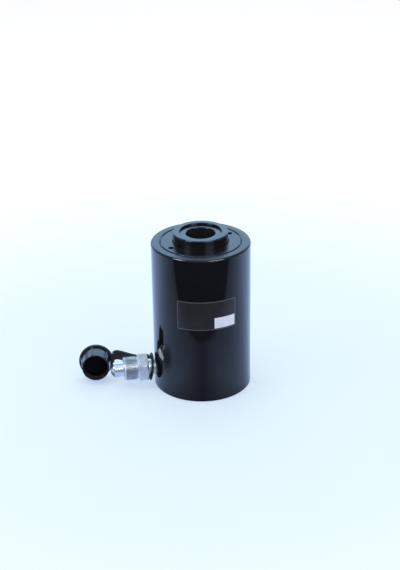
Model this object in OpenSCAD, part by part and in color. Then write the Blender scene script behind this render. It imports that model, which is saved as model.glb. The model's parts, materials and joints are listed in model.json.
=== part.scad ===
// Hollow plunger hydraulic cylinder, single acting with a spring return.
// Millimetres. The barrel's axis is Z and its base stands on Z = 0.
// The coupler points along -X, and its dust cap lies beside it on the floor.

/* [Body] */
// Wall of the barrel round the gland nut's thread
collar_wall = 10.75; // [8:0.25:15]
// Radial gap between the return spring and the barrel's bore
bore_gap = 2.35; // [1:0.05:4]
// Thickness of the closed base
base_t = 17; // [15:0.5:19]
// Rounding of the barrel's top outer edge
edge_round = 2.6; // [0.5:0.1:3]
// Chamfer round the barrel's foot
foot_chamfer = 1; // [0.5:0.1:2]
// Distance of the two tapped base holes from the barrel's outside
base_hole_inset = 7; // [6:0.25:9]
// Diameter of the base holes
base_hole_d = 8.5; // [5:0.5:8.5]
// Depth of the base holes
base_hole_depth = 14; // [8:1:14]
// Chamfer of the base holes and the spanner holes
hole_chamfer = 0.5; // [0.2:0.05:1]

/* [Gland nut] */
// Step from the bore out to the gland nut's thread
gland_step = 2.25; // [2:0.25:5]
// Height of the gland nut in the barrel
gland_h = 28; // [27:1:40]
// Chamfers that form the groove round the gland nut
seam_chamfer = 1.2; // [0.3:0.1:1.5]
// Wall of the sleeve that stops the piston
stop_wall = 3.4; // [2:0.1:3.8]
// Diameter of the two spanner holes
spanner_d = 6; // [4:0.25:7]
// Depth of the spanner holes
spanner_depth = 6; // [4:0.5:10]
// Web between a spanner hole and the wiper's groove
spanner_web = 1; // [0.8:0.05:2.5]
// Turn of the spanner holes from the +X axis, degrees
spanner_turn = 21; // [0:1:180]
// Radial section of the wiper
wiper_section = 3.3; // [3:0.05:4.5]
// Height of the wiper's heel
wiper_h = 5; // [4:0.1:6]
// Lip of the gland nut above the wiper
gland_lip = 1.8; // [1:0.1:3]
// Thickness of the gland bearing
bearing_t = 2.4; // [1.5:0.1:3]
// Height of the gland bearing
bearing_h = 11; // [8:0.5:14]

/* [Plunger] */
// Outer diameter of the plunger
plunger_d = 63.5; // [60:0.5:64.5]
// Radial gap between the centre tube and the plunger above its piston
tube_gap = 0.75; // [0.5:0.05:1.5]
// Height that the plunger stands above the barrel
plunger_rise = 12; // [6:0.5:25]
// Stroke of the plunger
stroke = 60; // [30:1:150]
// Rounding of the plunger's top rim
rim_round = 1.3; // [0.4:0.1:2]
// Radial gap round the piston's lower, relieved part
relief_gap = 4.5; // [2:0.25:9]
// Height of a land between two piston grooves
land_h = 3; // [2:0.1:5]
// Height of the piston's end lands
end_land = 2; // [1.5:0.1:4]

/* [Piston seals] */
// Radial section of the piston seal
seal_section = 6; // [4:0.1:7]
// Height of the piston seal
seal_h = 8; // [6:0.1:10]
// Height of a backup ring
backup_h = 2; // [1.5:0.1:3]
// Thickness of the wear rings
wear_t = 2.5; // [1.5:0.1:3]
// Height of the piston wear ring
wear_h = 6.5; // [5:0.1:10]
// Radial section of the seal on the centre tube
tube_seal_section = 5.5; // [4:0.1:6]
// Height of the seal on the centre tube
tube_seal_h = 7; // [5:0.1:8]
// Gap of the split wear rings
split_gap = 2; // [1:0.25:4]

/* [Centre tube and saddle] */
// Outer diameter of the centre tube
tube_d = 45; // [43:0.1:45.2]
// Through hole of the tube and the saddle
hole_d = 33.5; // [30:0.1:36]
// Section of the tube's O-ring in the base
tube_ring_section = 3; // [2:0.1:4]
// Height of the O-ring's groove above the base face
tube_ring_z = 6; // [4:0.1:7]
// Width of the shoulder that the saddle stands on
saddle_step = 0.75; // [0.4:0.05:2]
// Height of the saddle
saddle_h = 16.5; // [10:0.5:24]
// Depth of the saddle below the plunger's rim
saddle_recess = 2.5; // [1:0.25:6]
// Chamfer of the saddle's hole
saddle_chamfer = 0.8; // [0.3:0.1:2]

/* [Return spring] */
// Wire of the return spring
spring_wire = 6.5; // [5:0.1:7.2]
// Turns of the return spring
spring_turns = 5.5; // [4:0.25:5.5]
// Room for the spring when it is fully compressed
spring_pack = 40; // [38:0.1:60]

/* [Port and coupler] */
// Height of the port's axis above the base face
port_z = 23; // [22.5:0.25:27]
// Diameter of the port's pipe thread
port_d = 17.1; // [13:0.1:17.5]
// Length of the thread in the port
tail_len = 9.5; // [7:0.25:10.5]
// Diameter of the oil hole behind the port
oil_d = 6; // [4:0.25:7]
// Diameter of the coupler's neck
neck_d = 18.5; // [18:0.1:21]
// Length of the neck between barrel and hexagon
neck_len = 9.1; // [6:0.1:14]
// Hexagon across its flats
hex_af = 31.75; // [29:0.25:35]
// Length of the hexagon
hex_len = 11.8; // [8:0.1:18]
// Slope of the hexagon's end chamfers, degrees
hex_slope = 40; // [20:1:45]
// Diameter of the coupler's outer thread
thread_d = 28.2; // [26.5:0.1:29]
// Length of the coupler's outer thread
thread_len = 16.6; // [14:0.1:20]
// Depth of the thread's relief and front chamfer
thread_depth = 1.4; // [0.8:0.1:1.6]
// Diameter of the nose
nose_d = 17.6; // [17:0.1:19.5]
// Length of the nose in front of the thread
nose_len = 15; // [12:0.2:22]
// Length of the nose's tapered tip
tip_len = 3; // [1.5:0.1:5]
// Diameter of the nose's end face
tip_d = 10; // [8:0.1:13]
// Step from the nose out to its threaded shank
shank_step = 0.7; // [0.4:0.05:1.2]
// Length of the nose's shank
shank_len = 12.4; // [9:0.1:12.6]
// Diameter of the check ball
ball_d = 9; // [7:0.1:10]
// Hole of the valve seat
valve_hole_d = 5.6; // [4:0.1:6]
// Wire of the check spring
check_wire = 1; // [0.6:0.05:1.2]
// Section of the nose's O-ring
nose_ring_section = 2; // [1.5:0.1:2.4]
// Thickness of the check spring's seat
seat_t = 1.5; // [1:0.1:2.5]

/* [Dust cap] */
// Length of the dust cap
cap_len = 25; // [21:0.25:32]
// Wall of the dust cap
cap_wall = 1.5; // [1.2:0.1:2.5]
// Flare of the dust cap's diameter from its mouth to its closed end
cap_flare = 4; // [0:0.25:6]
// Thickness of the dust cap's closed end
cap_end = 3.2; // [2:0.1:5]
// Number of grip ribs
cap_ribs = 6; // [4:1:12]
// Height of the grip ribs
rib_h = 1.1; // [0.6:0.1:2]
// Width of the grip ribs
rib_w = 2.4; // [1.2:0.1:4]
// Turn of the first rib about the cap's axis, degrees
rib_turn = 43; // [0:1:60]
// Yaw of the cap from the -Y axis towards -X, degrees
cap_yaw = 8; // [0:0.5:15]
// Tilt of the cap's mouth above the level, degrees
cap_tilt = 5; // [0:0.5:9]
// Gap between nose and cap along the coupler's axis
cap_gap = 1.2; // [0.8:0.1:20]
// Distance of the cap's mouth behind the coupler's axis
cap_side = 10.1; // [9:0.1:20]

/* [Strap] */
// Width of the strap
strap_w = 12; // [8:0.1:15]
// Thickness of the strap
strap_t = 2.5; // [1.5:0.1:3]
// Tilt of the loose ring on the neck, degrees
ring_tilt = 8; // [0:0.5:10]
// Outer diameter of the ring on the neck
ring_d = 32.8; // [30:0.2:36]
// Gap between the strap and the hexagon's corners
strap_clear = 0.6; // [0.4:0.1:3]
// Bend radius at the centre of the strap
bend_r = 4; // [2.5:0.25:5]
// Length of the strap's straight run behind the hexagon
strap_run = 5.7; // [4:0.1:10]
// Length over which the strap keeps straight after its flex line
strap_pull = 14; // [10:0.5:16]
// Bow of the strap behind the cap's loop
strap_bow = 24; // [18:0.5:28]
// Wall of the loop round the cap
loop_wall = 2.3; // [1.4:0.1:4]
// Width of the loop along the cap's axis
loop_w = 3.3; // [2.5:0.1:5]

/* [Hidden] */
$fn = 96;
// Extra length of a cutting solid
cut = 1;
// Radial clearances of threads, sliding pieces and loose pieces
thread_fit = 0.05;
slide_fit = 0.1;
guide_fit = 0.2;
cap_fit = 0.6;
ring_fit = 0.6;
loose_fit = 0.3;
// Axial play of a ring in its groove and the gap of a piece at its stop
ring_play = 0.1;
stop_gap = 0.3;
seat_gap = 0.05;

// Diameters from the plunger outwards: stop sleeve, spring, bore, gland thread, barrel
stop_d = plunger_d + 2 * (guide_fit + stop_wall);
spring_mean_d = stop_d + 2 * loose_fit + spring_wire;
bore_d = spring_mean_d + spring_wire + 2 * bore_gap;
gland_d = bore_d + 2 * gland_step;
body_d = gland_d + 2 * collar_wall;
base_pcd = body_d - 2 * base_hole_inset;
relief_d = bore_d - 2 * relief_gap;

// Heights inside the barrel, from the base upwards
piston_z = base_t + stop_gap;
relief_margin = 2;
relief_z = port_z + oil_d / 2 + relief_margin;
seal_z = relief_z + end_land;
seal_groove_h = seal_h + backup_h + 3 * ring_play;
wear_z = seal_z + seal_groove_h + land_h;
wear_groove_h = wear_h + 2 * ring_play;
piston_top = wear_z + wear_groove_h + end_land;
gland_z = piston_top + stroke + spring_pack;
body_h = gland_z + gland_h;
plunger_top = body_h + plunger_rise;
saddle_top = plunger_top - saddle_recess;
saddle_z = saddle_top - saddle_h;
tube_top = saddle_z - land_h;
plunger_bore = tube_d + 2 * tube_gap;
saddle_d = plunger_bore + 2 * saddle_step;

// Grooves in the piston's bore, round the centre tube
tube_seal_z = piston_z + land_h + end_land;
tube_seal_groove_h = tube_seal_h + backup_h + 3 * ring_play;
tube_wear_z = tube_seal_z + tube_seal_groove_h + land_h;
tube_wear_top = tube_wear_z + wear_groove_h;

// Gland nut
wiper_z = body_h - gland_lip - wiper_h - 2 * ring_play;
wiper_root_d = plunger_d + 2 * wiper_section;
bearing_z = gland_z + land_h + end_land;
spanner_r = wiper_root_d / 2 + spanner_web + spanner_d / 2;

// Stations along the coupler's axis, measured from the barrel's axis
body_r = body_d / 2;
tail_s = body_r - tail_len;
neck_s = body_r + loose_fit;
hex_s = body_r + neck_len;
thread_s = hex_s + hex_len;
nose_s = thread_s + thread_len;
tip_s = nose_s + nose_len;
shank_s = nose_s - shank_len;
shank_d = nose_d + 2 * shank_step;
pocket_s = shank_s - seat_t - 2 * seat_gap;
valve_bore_d = ball_d + 2 * loose_fit;
valve_land = 1.2;
valve_s = tip_s - valve_land - (valve_bore_d - valve_hole_d) / 2;
ball_s = valve_s + valve_bore_d / 2 - sqrt(2) * (ball_d / 2 + seat_gap);
check_mean_d = ball_d - 2 * check_wire;
check_start_s = shank_s + seat_gap;
check_end_s = ball_s - sqrt(pow(ball_d / 2, 2) - pow(check_mean_d / 2, 2)) - check_wire / 2;
nose_ring_s = shank_s + land_h;

// Dust cap and strap
cap_bore = thread_d + 2 * cap_fit;
cap_d = cap_bore + 2 * cap_wall;
cap_base_d = cap_d + cap_flare;
cap_edge = cap_wall / 4;
cap_lip_h = 0.4;
cap_lip_d = cap_base_d + 2 * cap_lip_h;
cap_lip_t = 1.5;
loop_s = cap_lip_t + ring_play;
loop_in_d = cap_base_d + 2 * slide_fit;
loop_d = loop_in_d + 2 * loop_wall;
rib_s = loop_s + loop_w + ring_play;
mouth_x = -(tip_s + cap_gap + cap_d / 2 * cos(cap_yaw));
cap_reach = cap_len * cos(cap_tilt);
cap_x = mouth_x + cap_reach * sin(cap_yaw);
cap_y = cap_side + cap_reach * cos(cap_yaw);
cap_z = loop_d / 2 * cos(cap_tilt) - loop_s * sin(cap_tilt);
ring_s = body_r + neck_len / 2;
ring_in_d = neck_d + 2 * ring_fit;
hex_corner_d = hex_af / cos(30);
strap_side = hex_corner_d / 2 + strap_clear + strap_t / 2;
flex_s = ring_s + bend_r + strap_run;

// The strap's outer half leaves the flex line along -X and bows round to the loop from behind
loop_mid = loop_s + loop_w / 2;
loop_hold = cap_lip_d / 2 + loose_fit + strap_t / 2;
strap_end = [
    cap_x - loop_mid * cos(cap_tilt) * sin(cap_yaw) + loop_hold * cos(cap_yaw),
    cap_y - loop_mid * cos(cap_tilt) * cos(cap_yaw) - loop_hold * sin(cap_yaw)
];
strap_start = [-flex_s, strap_side];
strap_bends = [
    strap_start,
    strap_start - [strap_pull, 0],
    strap_end + strap_bow * [sin(cap_yaw), cos(cap_yaw)],
    strap_end
];
strap_steps = 14;
bend_steps = 10;

// Round solid from z0 to z1
module disc(d, z0, z1) {
    translate([0, 0, z0]) cylinder(d = d, h = z1 - z0);
}

// Ring from z0 to z1
module band(d_out, d_in, z0, z1) {
    difference() {
        disc(d_out, z0, z1);
        disc(d_in, z0 - cut, z1 + cut);
    }
}

// Cone that breaks the edge of a bore, widest at z_wide
module bore_chamfer(d, size, z_wide, up = true) {
    translate([0, 0, up ? z_wide - size : z_wide])
        cylinder(d1 = up ? d : d + 2 * size, d2 = up ? d + 2 * size : d, h = size);
}

// Round solid with its top outer edge chamfered
module topped_disc(d, z0, z1, chamfer) {
    disc(d, z0, z1 - chamfer);
    translate([0, 0, z1 - chamfer])
        cylinder(d1 = d, d2 = d - 2 * chamfer, h = chamfer);
}

// Round solid with its top outer edge rounded
module rounded_disc(d, z0, z1, r) {
    rotate_extrude() {
        translate([0, z0]) square([d / 2, z1 - z0 - r]);
        translate([0, z0]) square([d / 2 - r, z1 - z0]);
        intersection() {
            translate([d / 2 - r, z1 - r]) circle(r, $fn = 32);
            translate([d / 2 - r, z1 - r]) square(r);
        }
    }
}

// Drilled hole down from z1 with its edge broken
module drilled(d, depth, z1) {
    disc(d, z1 - depth, z1 + cut);
    bore_chamfer(d, hole_chamfer, z1);
}

// Round ring of round section
module o_ring(mean_d, section, z) {
    translate([0, 0, z]) rotate_extrude()
        translate([mean_d / 2, 0]) circle(d = section, $fn = 32);
}

// Lip seal: a ring with a notch that faces the oil
module lip_seal(d_out, d_in, z0, h) {
    section = (d_out - d_in) / 2;
    notch_h = h * 0.4;
    notch_w = section * 0.4;
    rotate_extrude() translate([d_in / 2, z0]) polygon([
        [0, 0], [(section - notch_w) / 2, 0], [section / 2, notch_h],
        [(section + notch_w) / 2, 0], [section, 0], [section, h], [0, h]
    ]);
}

// Ring with a slanting split, as it is opened over the piston
module split_ring(d_out, d_in, z0, h) {
    difference() {
        band(d_out, d_in, z0, z0 + h);
        translate([d_in / 2 - cut, 0, z0 + h / 2]) rotate([30, 0, 0])
            translate([0, -split_gap / 2, -h]) cube([d_out - d_in, split_gap, 2 * h]);
    }
}

// Height of a coil's centre line after t turns, with one closed turn at each end
function coil_rise(t, turns, wire, h) =
    let (closed = wire * 1.06, low = wire * 0.3)
    let (open = (h - 2 * low - 2 * closed) / (turns - 2))
    t < 1 ? low + closed * t
    : t > turns - 1 ? h - low - closed * (turns - t)
    : low + closed + open * (t - 1);

// Coil spring from z0 to z0 + h with its ends ground flat
module coil_spring(mean_d, wire, turns, z0, h, steps, sides) {
    rings = ceil(turns * steps);
    points = [
        for (i = [0 : rings], j = [0 : sides - 1])
            let (t = i * turns / rings, a = 360 * t, b = 360 * j / sides)
            let (r = mean_d / 2 + wire / 2 * cos(b))
            [r * cos(a), r * sin(a), coil_rise(t, turns, wire, h) + wire / 2 * sin(b)]
    ];
    sides_faces = [
        for (i = [0 : rings - 1], j = [0 : sides - 1])
            let (k = (j + 1) % sides)
            [i * sides + j, i * sides + k, (i + 1) * sides + k, (i + 1) * sides + j]
    ];
    first_face = [[for (j = [sides - 1 : -1 : 0]) j]];
    last_face = [[for (j = [0 : sides - 1]) rings * sides + j]];
    translate([0, 0, z0]) intersection() {
        polyhedron(points, concat(sides_faces, first_face, last_face), convexity = 10);
        translate([-mean_d, -mean_d, 0]) cube([2 * mean_d, 2 * mean_d, h]);
    }
}

// Frame of the coupler: local +Z runs outwards along -X
module along_coupler() {
    translate([0, 0, port_z]) rotate([0, -90, 0]) children();
}

// Frame of the dust cap: local +Z runs from its closed end to its mouth
module along_cap() {
    translate([cap_x, cap_y, cap_z]) rotate([90 - cap_tilt, 0, -cap_yaw]) children();
}

// Points of a curve from four control points
function curve_point(p, t) =
    pow(1 - t, 3) * p[0] + 3 * pow(1 - t, 2) * t * p[1]
    + 3 * (1 - t) * pow(t, 2) * p[2] + pow(t, 3) * p[3];

// Left normal of a path at one of its points
function path_normal(path, i) =
    let (a = path[max(i - 1, 0)], b = path[min(i + 1, len(path) - 1)])
    let (d = (b - a) / norm(b - a))
    [-d[1], d[0]];

// Flat strap that stands on edge along a path
module strap_along(path) {
    left = [for (i = [0 : len(path) - 1]) path[i] + path_normal(path, i) * strap_t / 2];
    right = [for (i = [len(path) - 1 : -1 : 0]) path[i] - path_normal(path, i) * strap_t / 2];
    translate([0, 0, port_z - strap_w / 2])
        linear_extrude(strap_w) polygon(concat(left, right));
}

// Half section of the barrel's outside
module body_outline() {
    difference() {
        union() {
            square([body_r, body_h - edge_round]);
            square([body_r - edge_round, body_h]);
            translate([body_r - edge_round, body_h - edge_round]) circle(edge_round);
        }
        translate([body_r, 0]) rotate(45)
            square(sqrt(2) * foot_chamfer, center = true);
        translate([-body_r, -cut]) square([body_r, body_h + 2 * cut]);
    }
}

module cylinder_body() color([0.06, 0.06, 0.07]) difference() {
    rotate_extrude() body_outline();
    disc(bore_d, base_t, gland_z + cut);
    disc(gland_d + 2 * thread_fit, gland_z, body_h + cut);
    bore_chamfer(gland_d + 2 * thread_fit, seam_chamfer, body_h);
    disc(tube_d + 2 * thread_fit, -cut, base_t + cut);
    disc(tube_d + 2 * tube_ring_section, tube_ring_z,
         tube_ring_z + tube_ring_section + backup_h + 3 * ring_play);
    along_coupler() disc(port_d + 2 * thread_fit, tail_s - stop_gap, body_d);
    along_coupler() disc(oil_d, bore_d / 2 - cut * 3, body_r);
    for (side = [-1, 1]) translate([0, side * base_pcd / 2, 0])
        rotate([180, 0, 0]) drilled(base_hole_d, base_hole_depth, 0);
}

module center_tube() color([0.5, 0.51, 0.53]) difference() {
    topped_disc(tube_d, 0, tube_top, saddle_chamfer);
    disc(hole_d, -cut, tube_top + cut);
}

module tube_o_ring() color([0.09, 0.09, 0.09])
    o_ring(tube_d + tube_ring_section, tube_ring_section - 2 * seat_gap,
           tube_ring_z + ring_play + tube_ring_section / 2);

module tube_backup_ring() color([0.85, 0.84, 0.8])
    translate([0, 0, tube_ring_z + tube_ring_section + 2 * ring_play])
        band(tube_d + 2 * (tube_ring_section - seat_gap), tube_d + 2 * seat_gap, 0, backup_h);

module gland_nut() color([0.06, 0.06, 0.07]) difference() {
    union() {
        topped_disc(gland_d, gland_z, body_h, seam_chamfer);
        disc(stop_d, piston_top + stroke + stop_gap, gland_z + cut);
    }
    disc(plunger_d + 2 * guide_fit, piston_top, body_h + cut);
    disc(plunger_d + 2 * bearing_t, bearing_z, bearing_z + bearing_h + 2 * ring_play);
    disc(wiper_root_d, wiper_z, body_h - gland_lip);
    disc(plunger_d + wiper_section / 2, body_h - gland_lip - cut, body_h + cut);
    for (turn = [0, 180]) rotate(spanner_turn + turn) translate([spanner_r, 0, 0])
        drilled(spanner_d, spanner_depth, body_h);
}

module rod_wiper() color([0.1, 0.1, 0.11])
    translate([0, 0, wiper_z + ring_play]) rotate_extrude()
        translate([plunger_d / 2 + slide_fit, 0]) polygon([
            [guide_fit, 0], [wiper_section - 2 * slide_fit, 0],
            [wiper_section - 2 * slide_fit, wiper_h], [wiper_section / 4, wiper_h],
            [guide_fit, wiper_h + gland_lip - seat_gap], [0, wiper_h + gland_lip - seat_gap],
            [0, wiper_h / 2]
        ]);

module gland_bearing() color([0.62, 0.5, 0.28])
    split_ring(plunger_d + 2 * (bearing_t - seat_gap), plunger_d + 2 * slide_fit,
               bearing_z + ring_play, bearing_h);

module return_spring() color([0.3, 0.3, 0.32])
    coil_spring(spring_mean_d, spring_wire, spring_turns, piston_top + seat_gap,
                gland_z - piston_top - 2 * seat_gap, 24, 8);

module plunger() color([0.06, 0.06, 0.07]) difference() {
    union() {
        disc(relief_d, piston_z, relief_z);
        disc(bore_d - 2 * slide_fit, relief_z, piston_top);
        rounded_disc(plunger_d, relief_z, plunger_top, rim_round);
    }
    disc(tube_d + 2 * slide_fit, piston_z - cut, plunger_top);
    disc(plunger_bore, tube_wear_top + land_h, plunger_top);
    disc(saddle_d + 2 * thread_fit, saddle_z, plunger_top + cut);
    bore_chamfer(saddle_d + 2 * thread_fit, rim_round / 2, plunger_top);
    band(bore_d + cut, bore_d - 2 * seal_section, seal_z, seal_z + seal_groove_h);
    band(bore_d + cut, bore_d - 2 * wear_t, wear_z, wear_z + wear_groove_h);
    disc(tube_d + 2 * tube_seal_section, tube_seal_z, tube_seal_z + tube_seal_groove_h);
    disc(tube_d + 2 * wear_t, tube_wear_z, tube_wear_top);
}

module saddle() color([0.08, 0.08, 0.09]) difference() {
    topped_disc(saddle_d, saddle_z, saddle_top, saddle_chamfer / 2);
    disc(hole_d, saddle_z - cut, saddle_top + cut);
    bore_chamfer(hole_d, saddle_chamfer, saddle_top);
}

module piston_seal() color([0.75, 0.62, 0.3])
    lip_seal(bore_d - 2 * slide_fit, bore_d - 2 * (seal_section - seat_gap),
             seal_z + ring_play, seal_h);

module piston_backup_ring() color([0.85, 0.84, 0.8])
    translate([0, 0, seal_z + seal_h + 2 * ring_play])
        band(bore_d - 2 * slide_fit, bore_d - 2 * (seal_section - seat_gap), 0, backup_h);

module piston_wear_ring() color([0.35, 0.25, 0.16])
    split_ring(bore_d - 2 * slide_fit, bore_d - 2 * (wear_t - seat_gap),
               wear_z + ring_play, wear_h);

module tube_seal() color([0.75, 0.62, 0.3])
    lip_seal(tube_d + 2 * (tube_seal_section - seat_gap), tube_d + 2 * slide_fit,
             tube_seal_z + ring_play, tube_seal_h);

module tube_seal_backup() color([0.85, 0.84, 0.8])
    translate([0, 0, tube_seal_z + tube_seal_h + 2 * ring_play])
        band(tube_d + 2 * (tube_seal_section - seat_gap), tube_d + 2 * slide_fit, 0, backup_h);

module tube_wear_ring() color([0.35, 0.25, 0.16])
    split_ring(tube_d + 2 * (wear_t - seat_gap), tube_d + 2 * slide_fit,
               tube_wear_z + ring_play, wear_h);

// Hexagon with both ends chamfered to a circle
module hexagon() {
    drop = (hex_corner_d - hex_af) / 2 * tan(hex_slope);
    intersection() {
        translate([0, 0, hex_s]) cylinder(d = hex_corner_d, h = hex_len, $fn = 6);
        rotate_extrude() polygon([
            [0, hex_s], [hex_af / 2, hex_s], [hex_corner_d / 2, hex_s + drop],
            [hex_corner_d / 2, thread_s - drop], [hex_af / 2, thread_s], [0, thread_s]
        ]);
    }
}

module coupler_body() color([0.62, 0.62, 0.64]) along_coupler() difference() {
    union() {
        disc(port_d, tail_s, neck_s + cut);
        disc(neck_d, neck_s, hex_s + cut);
        hexagon();
        disc(thread_d - 2 * thread_depth, thread_s - cut, thread_s + thread_depth + cut);
        topped_disc(thread_d, thread_s + thread_depth, nose_s, thread_depth);
    }
    disc(oil_d + cut, tail_s - cut, nose_s);
    disc(shank_d + 2 * thread_fit, pocket_s, nose_s + cut);
}

module coupler_nose() color([0.78, 0.78, 0.8]) along_coupler() difference() {
    union() {
        disc(shank_d, shank_s, nose_s);
        disc(nose_d, shank_s, tip_s - tip_len);
        translate([0, 0, tip_s - tip_len]) cylinder(d1 = nose_d, d2 = tip_d, h = tip_len);
    }
    disc(valve_bore_d, shank_s - cut, valve_s);
    translate([0, 0, valve_s])
        cylinder(d1 = valve_bore_d, d2 = valve_hole_d, h = (valve_bore_d - valve_hole_d) / 2);
    disc(valve_hole_d, valve_s, tip_s + cut);
    band(shank_d + cut, shank_d - 2 * nose_ring_section, nose_ring_s,
         nose_ring_s + nose_ring_section + 2 * ring_play);
}

module nose_o_ring() color([0.09, 0.09, 0.09]) along_coupler()
    o_ring(shank_d - nose_ring_section, nose_ring_section - 2 * seat_gap,
           nose_ring_s + ring_play + nose_ring_section / 2);

module spring_seat() color([0.7, 0.7, 0.72]) along_coupler()
    band(shank_d, check_mean_d - 2 * check_wire, pocket_s + seat_gap, pocket_s + seat_gap + seat_t);

module check_spring() color([0.75, 0.75, 0.77]) along_coupler()
    coil_spring(check_mean_d, check_wire, 8, check_start_s, check_end_s - check_start_s, 14, 6);

module check_ball() color([0.8, 0.8, 0.82]) along_coupler()
    translate([0, 0, ball_s]) sphere(d = ball_d, $fn = 48);

// Radius of the dust cap's tapered wall at a distance from its closed end
function cap_r(s) = (cap_base_d - cap_flare * (s - rib_s) / (cap_len - cap_edge - rib_s)) / 2;

// One grip rib of the dust cap, which follows the taper and slopes off at the mouth
module grip_rib() {
    rib_root = (cap_bore + cap_wall) / 2;
    rib_end = cap_len - cap_wall;
    slope_s = rib_end - rib_h;
    translate([0, rib_w / 2, 0]) rotate([90, 0, 0]) linear_extrude(rib_w) polygon([
        [rib_root, rib_s], [cap_r(rib_s) + rib_h, rib_s], [cap_r(slope_s) + rib_h, slope_s],
        [cap_r(rib_end) + rib_h / 2, rib_end], [rib_root, rib_end]
    ]);
}

module dust_cap() color([0.07, 0.07, 0.075]) along_cap() {
    difference() {
        union() {
            disc(cap_lip_d, 0, cap_lip_t);
            disc(cap_base_d, 0, rib_s);
            translate([0, 0, rib_s])
                cylinder(d1 = cap_base_d, d2 = cap_d, h = cap_len - cap_edge - rib_s);
            translate([0, 0, cap_len - cap_edge])
                cylinder(d1 = cap_d, d2 = cap_d - 2 * cap_edge, h = cap_edge);
            for (i = [0 : cap_ribs - 1]) rotate(rib_turn + 360 / cap_ribs * i) grip_rib();
        }
        disc(cap_bore, cap_end, cap_len + cut);
    }
}

module strap_cap_end() color([0.13, 0.12, 0.12]) {
    along_cap() band(loop_d, loop_in_d, loop_s, loop_s + loop_w);
    strap_along([for (i = [0 : strap_steps]) curve_point(strap_bends, i / strap_steps)]);
    translate([-flex_s, strap_side, port_z - strap_w / 2]) cylinder(d = strap_t, h = strap_w);
}

module strap_ring_end() color([0.13, 0.12, 0.12]) {
    along_coupler() translate([0, 0, ring_s]) rotate([0, ring_tilt, 0])
        band(ring_d, ring_in_d, -strap_t / 2, strap_t / 2);
    bend_center = [-ring_s - bend_r, strap_side - bend_r];
    bend = [
        for (i = [0 : bend_steps])
            let (a = 90 * i / bend_steps)
            bend_center + bend_r * [cos(a), sin(a)]
    ];
    first_point = [-ring_s, (ring_in_d + strap_t) / 2];
    last_point = [-flex_s + strap_t / 2 + stop_gap, strap_side];
    strap_along(concat([first_point], bend, [last_point]));
}

cylinder_body();
center_tube();
tube_o_ring();
tube_backup_ring();
gland_nut();
rod_wiper();
gland_bearing();
return_spring();
plunger();
saddle();
piston_seal();
piston_backup_ring();
piston_wear_ring();
tube_seal();
tube_seal_backup();
tube_wear_ring();
coupler_body();
coupler_nose();
nose_o_ring();
spring_seat();
check_spring();
check_ball();
dust_cap();
strap_cap_end();
strap_ring_end();
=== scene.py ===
# Looks of the hollow plunger cylinder: finishes, soft strap, thread, springs, label and studio.
# Metres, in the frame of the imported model: Z along the through hole, coupler along -X.
import json
import math

import bmesh
import bpy
from mathutils import Matrix, Vector


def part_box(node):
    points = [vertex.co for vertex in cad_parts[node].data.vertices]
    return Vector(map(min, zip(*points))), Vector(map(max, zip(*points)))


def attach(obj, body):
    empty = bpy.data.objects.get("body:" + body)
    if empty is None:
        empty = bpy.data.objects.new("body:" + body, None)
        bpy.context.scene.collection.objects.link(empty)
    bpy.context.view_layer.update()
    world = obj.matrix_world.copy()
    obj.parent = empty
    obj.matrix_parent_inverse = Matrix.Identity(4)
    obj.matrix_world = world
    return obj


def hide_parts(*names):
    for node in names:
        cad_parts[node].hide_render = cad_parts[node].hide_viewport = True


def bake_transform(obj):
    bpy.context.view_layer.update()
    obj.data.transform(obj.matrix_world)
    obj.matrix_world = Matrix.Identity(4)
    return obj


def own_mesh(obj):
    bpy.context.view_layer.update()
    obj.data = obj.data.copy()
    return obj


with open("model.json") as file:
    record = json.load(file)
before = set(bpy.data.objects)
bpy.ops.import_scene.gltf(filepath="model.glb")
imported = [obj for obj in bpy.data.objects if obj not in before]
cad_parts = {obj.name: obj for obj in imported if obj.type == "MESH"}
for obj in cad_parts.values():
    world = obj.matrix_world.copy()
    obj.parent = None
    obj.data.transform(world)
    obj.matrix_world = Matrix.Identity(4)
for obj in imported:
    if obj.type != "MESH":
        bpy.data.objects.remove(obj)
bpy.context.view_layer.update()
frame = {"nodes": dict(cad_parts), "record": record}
cad = frame["nodes"]
MM = 0.001


def low(node):
    """Lowest corner of a node's box."""
    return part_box(node)[0]


def high(node):
    """Highest corner of a node's box."""
    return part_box(node)[1]


# Clearances, edges and the shading angle of soft pieces in degrees
THREAD_FIT = 0.05 * MM
SLIDE_FIT = 0.1 * MM
GUIDE_FIT = 0.2 * MM
PLAY = 0.1 * MM
FINE_EDGE = 0.25 * MM
SOFT_EDGE = 0.5 * MM
SOFT_ANGLE = 40

# Steps round the turned pieces and the tools that cut them
WIDE_STEPS = 192
SADDLE_STEPS = 160
HEX_STEPS = 144
CAP_STEPS = 128
COUPLER_STEPS = 96
TRIM_STEPS = 90
PORT_STEPS = 64
DRILL_STEPS = 48
LABEL_STEPS = 64

# Barrel, gland, plunger and springs, partly read from the frame
BARREL_R = high("cylinder_body").x
BARREL_H = high("cylinder_body").z
BARREL_ROUND = 2.6 * MM
FOOT_CHAMFER = 1.0 * MM
SEAM_CHAMFER = 1.2 * MM
SADDLE_CHAMFER = 0.8 * MM
SADDLE_ROUND = 0.4 * MM
HOLE_CHAMFER = 0.5 * MM
BASE_T = 17.0 * MM
BORE_R = high("piston_seal").x + SLIDE_FIT
GLAND_R = 46.75 * MM
SPRING_PLAY = 0.05 * MM
GLAND_Z = high("return_spring").z + SPRING_PLAY
STOP_WALL = 3.4 * MM
LIP_GAP = 0.825 * MM
LIP_H = 1.8 * MM
BEARING_DEPTH = 2.4 * MM
PLUNGER_R = 31.75 * MM
PLUNGER_TOP = high("plunger").z
PLUNGER_FOOT = low("plunger").z
PISTON_TOP = low("return_spring").z - SPRING_PLAY
PISTON_R = BORE_R - SLIDE_FIT
SEAL_DEPTH = 6.0 * MM
WEAR_DEPTH = 2.5 * MM
INNER_SEAL_DEPTH = 5.5 * MM
RELIEF_R = 40.0 * MM
RELIEF_Z = 28.0 * MM
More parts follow.
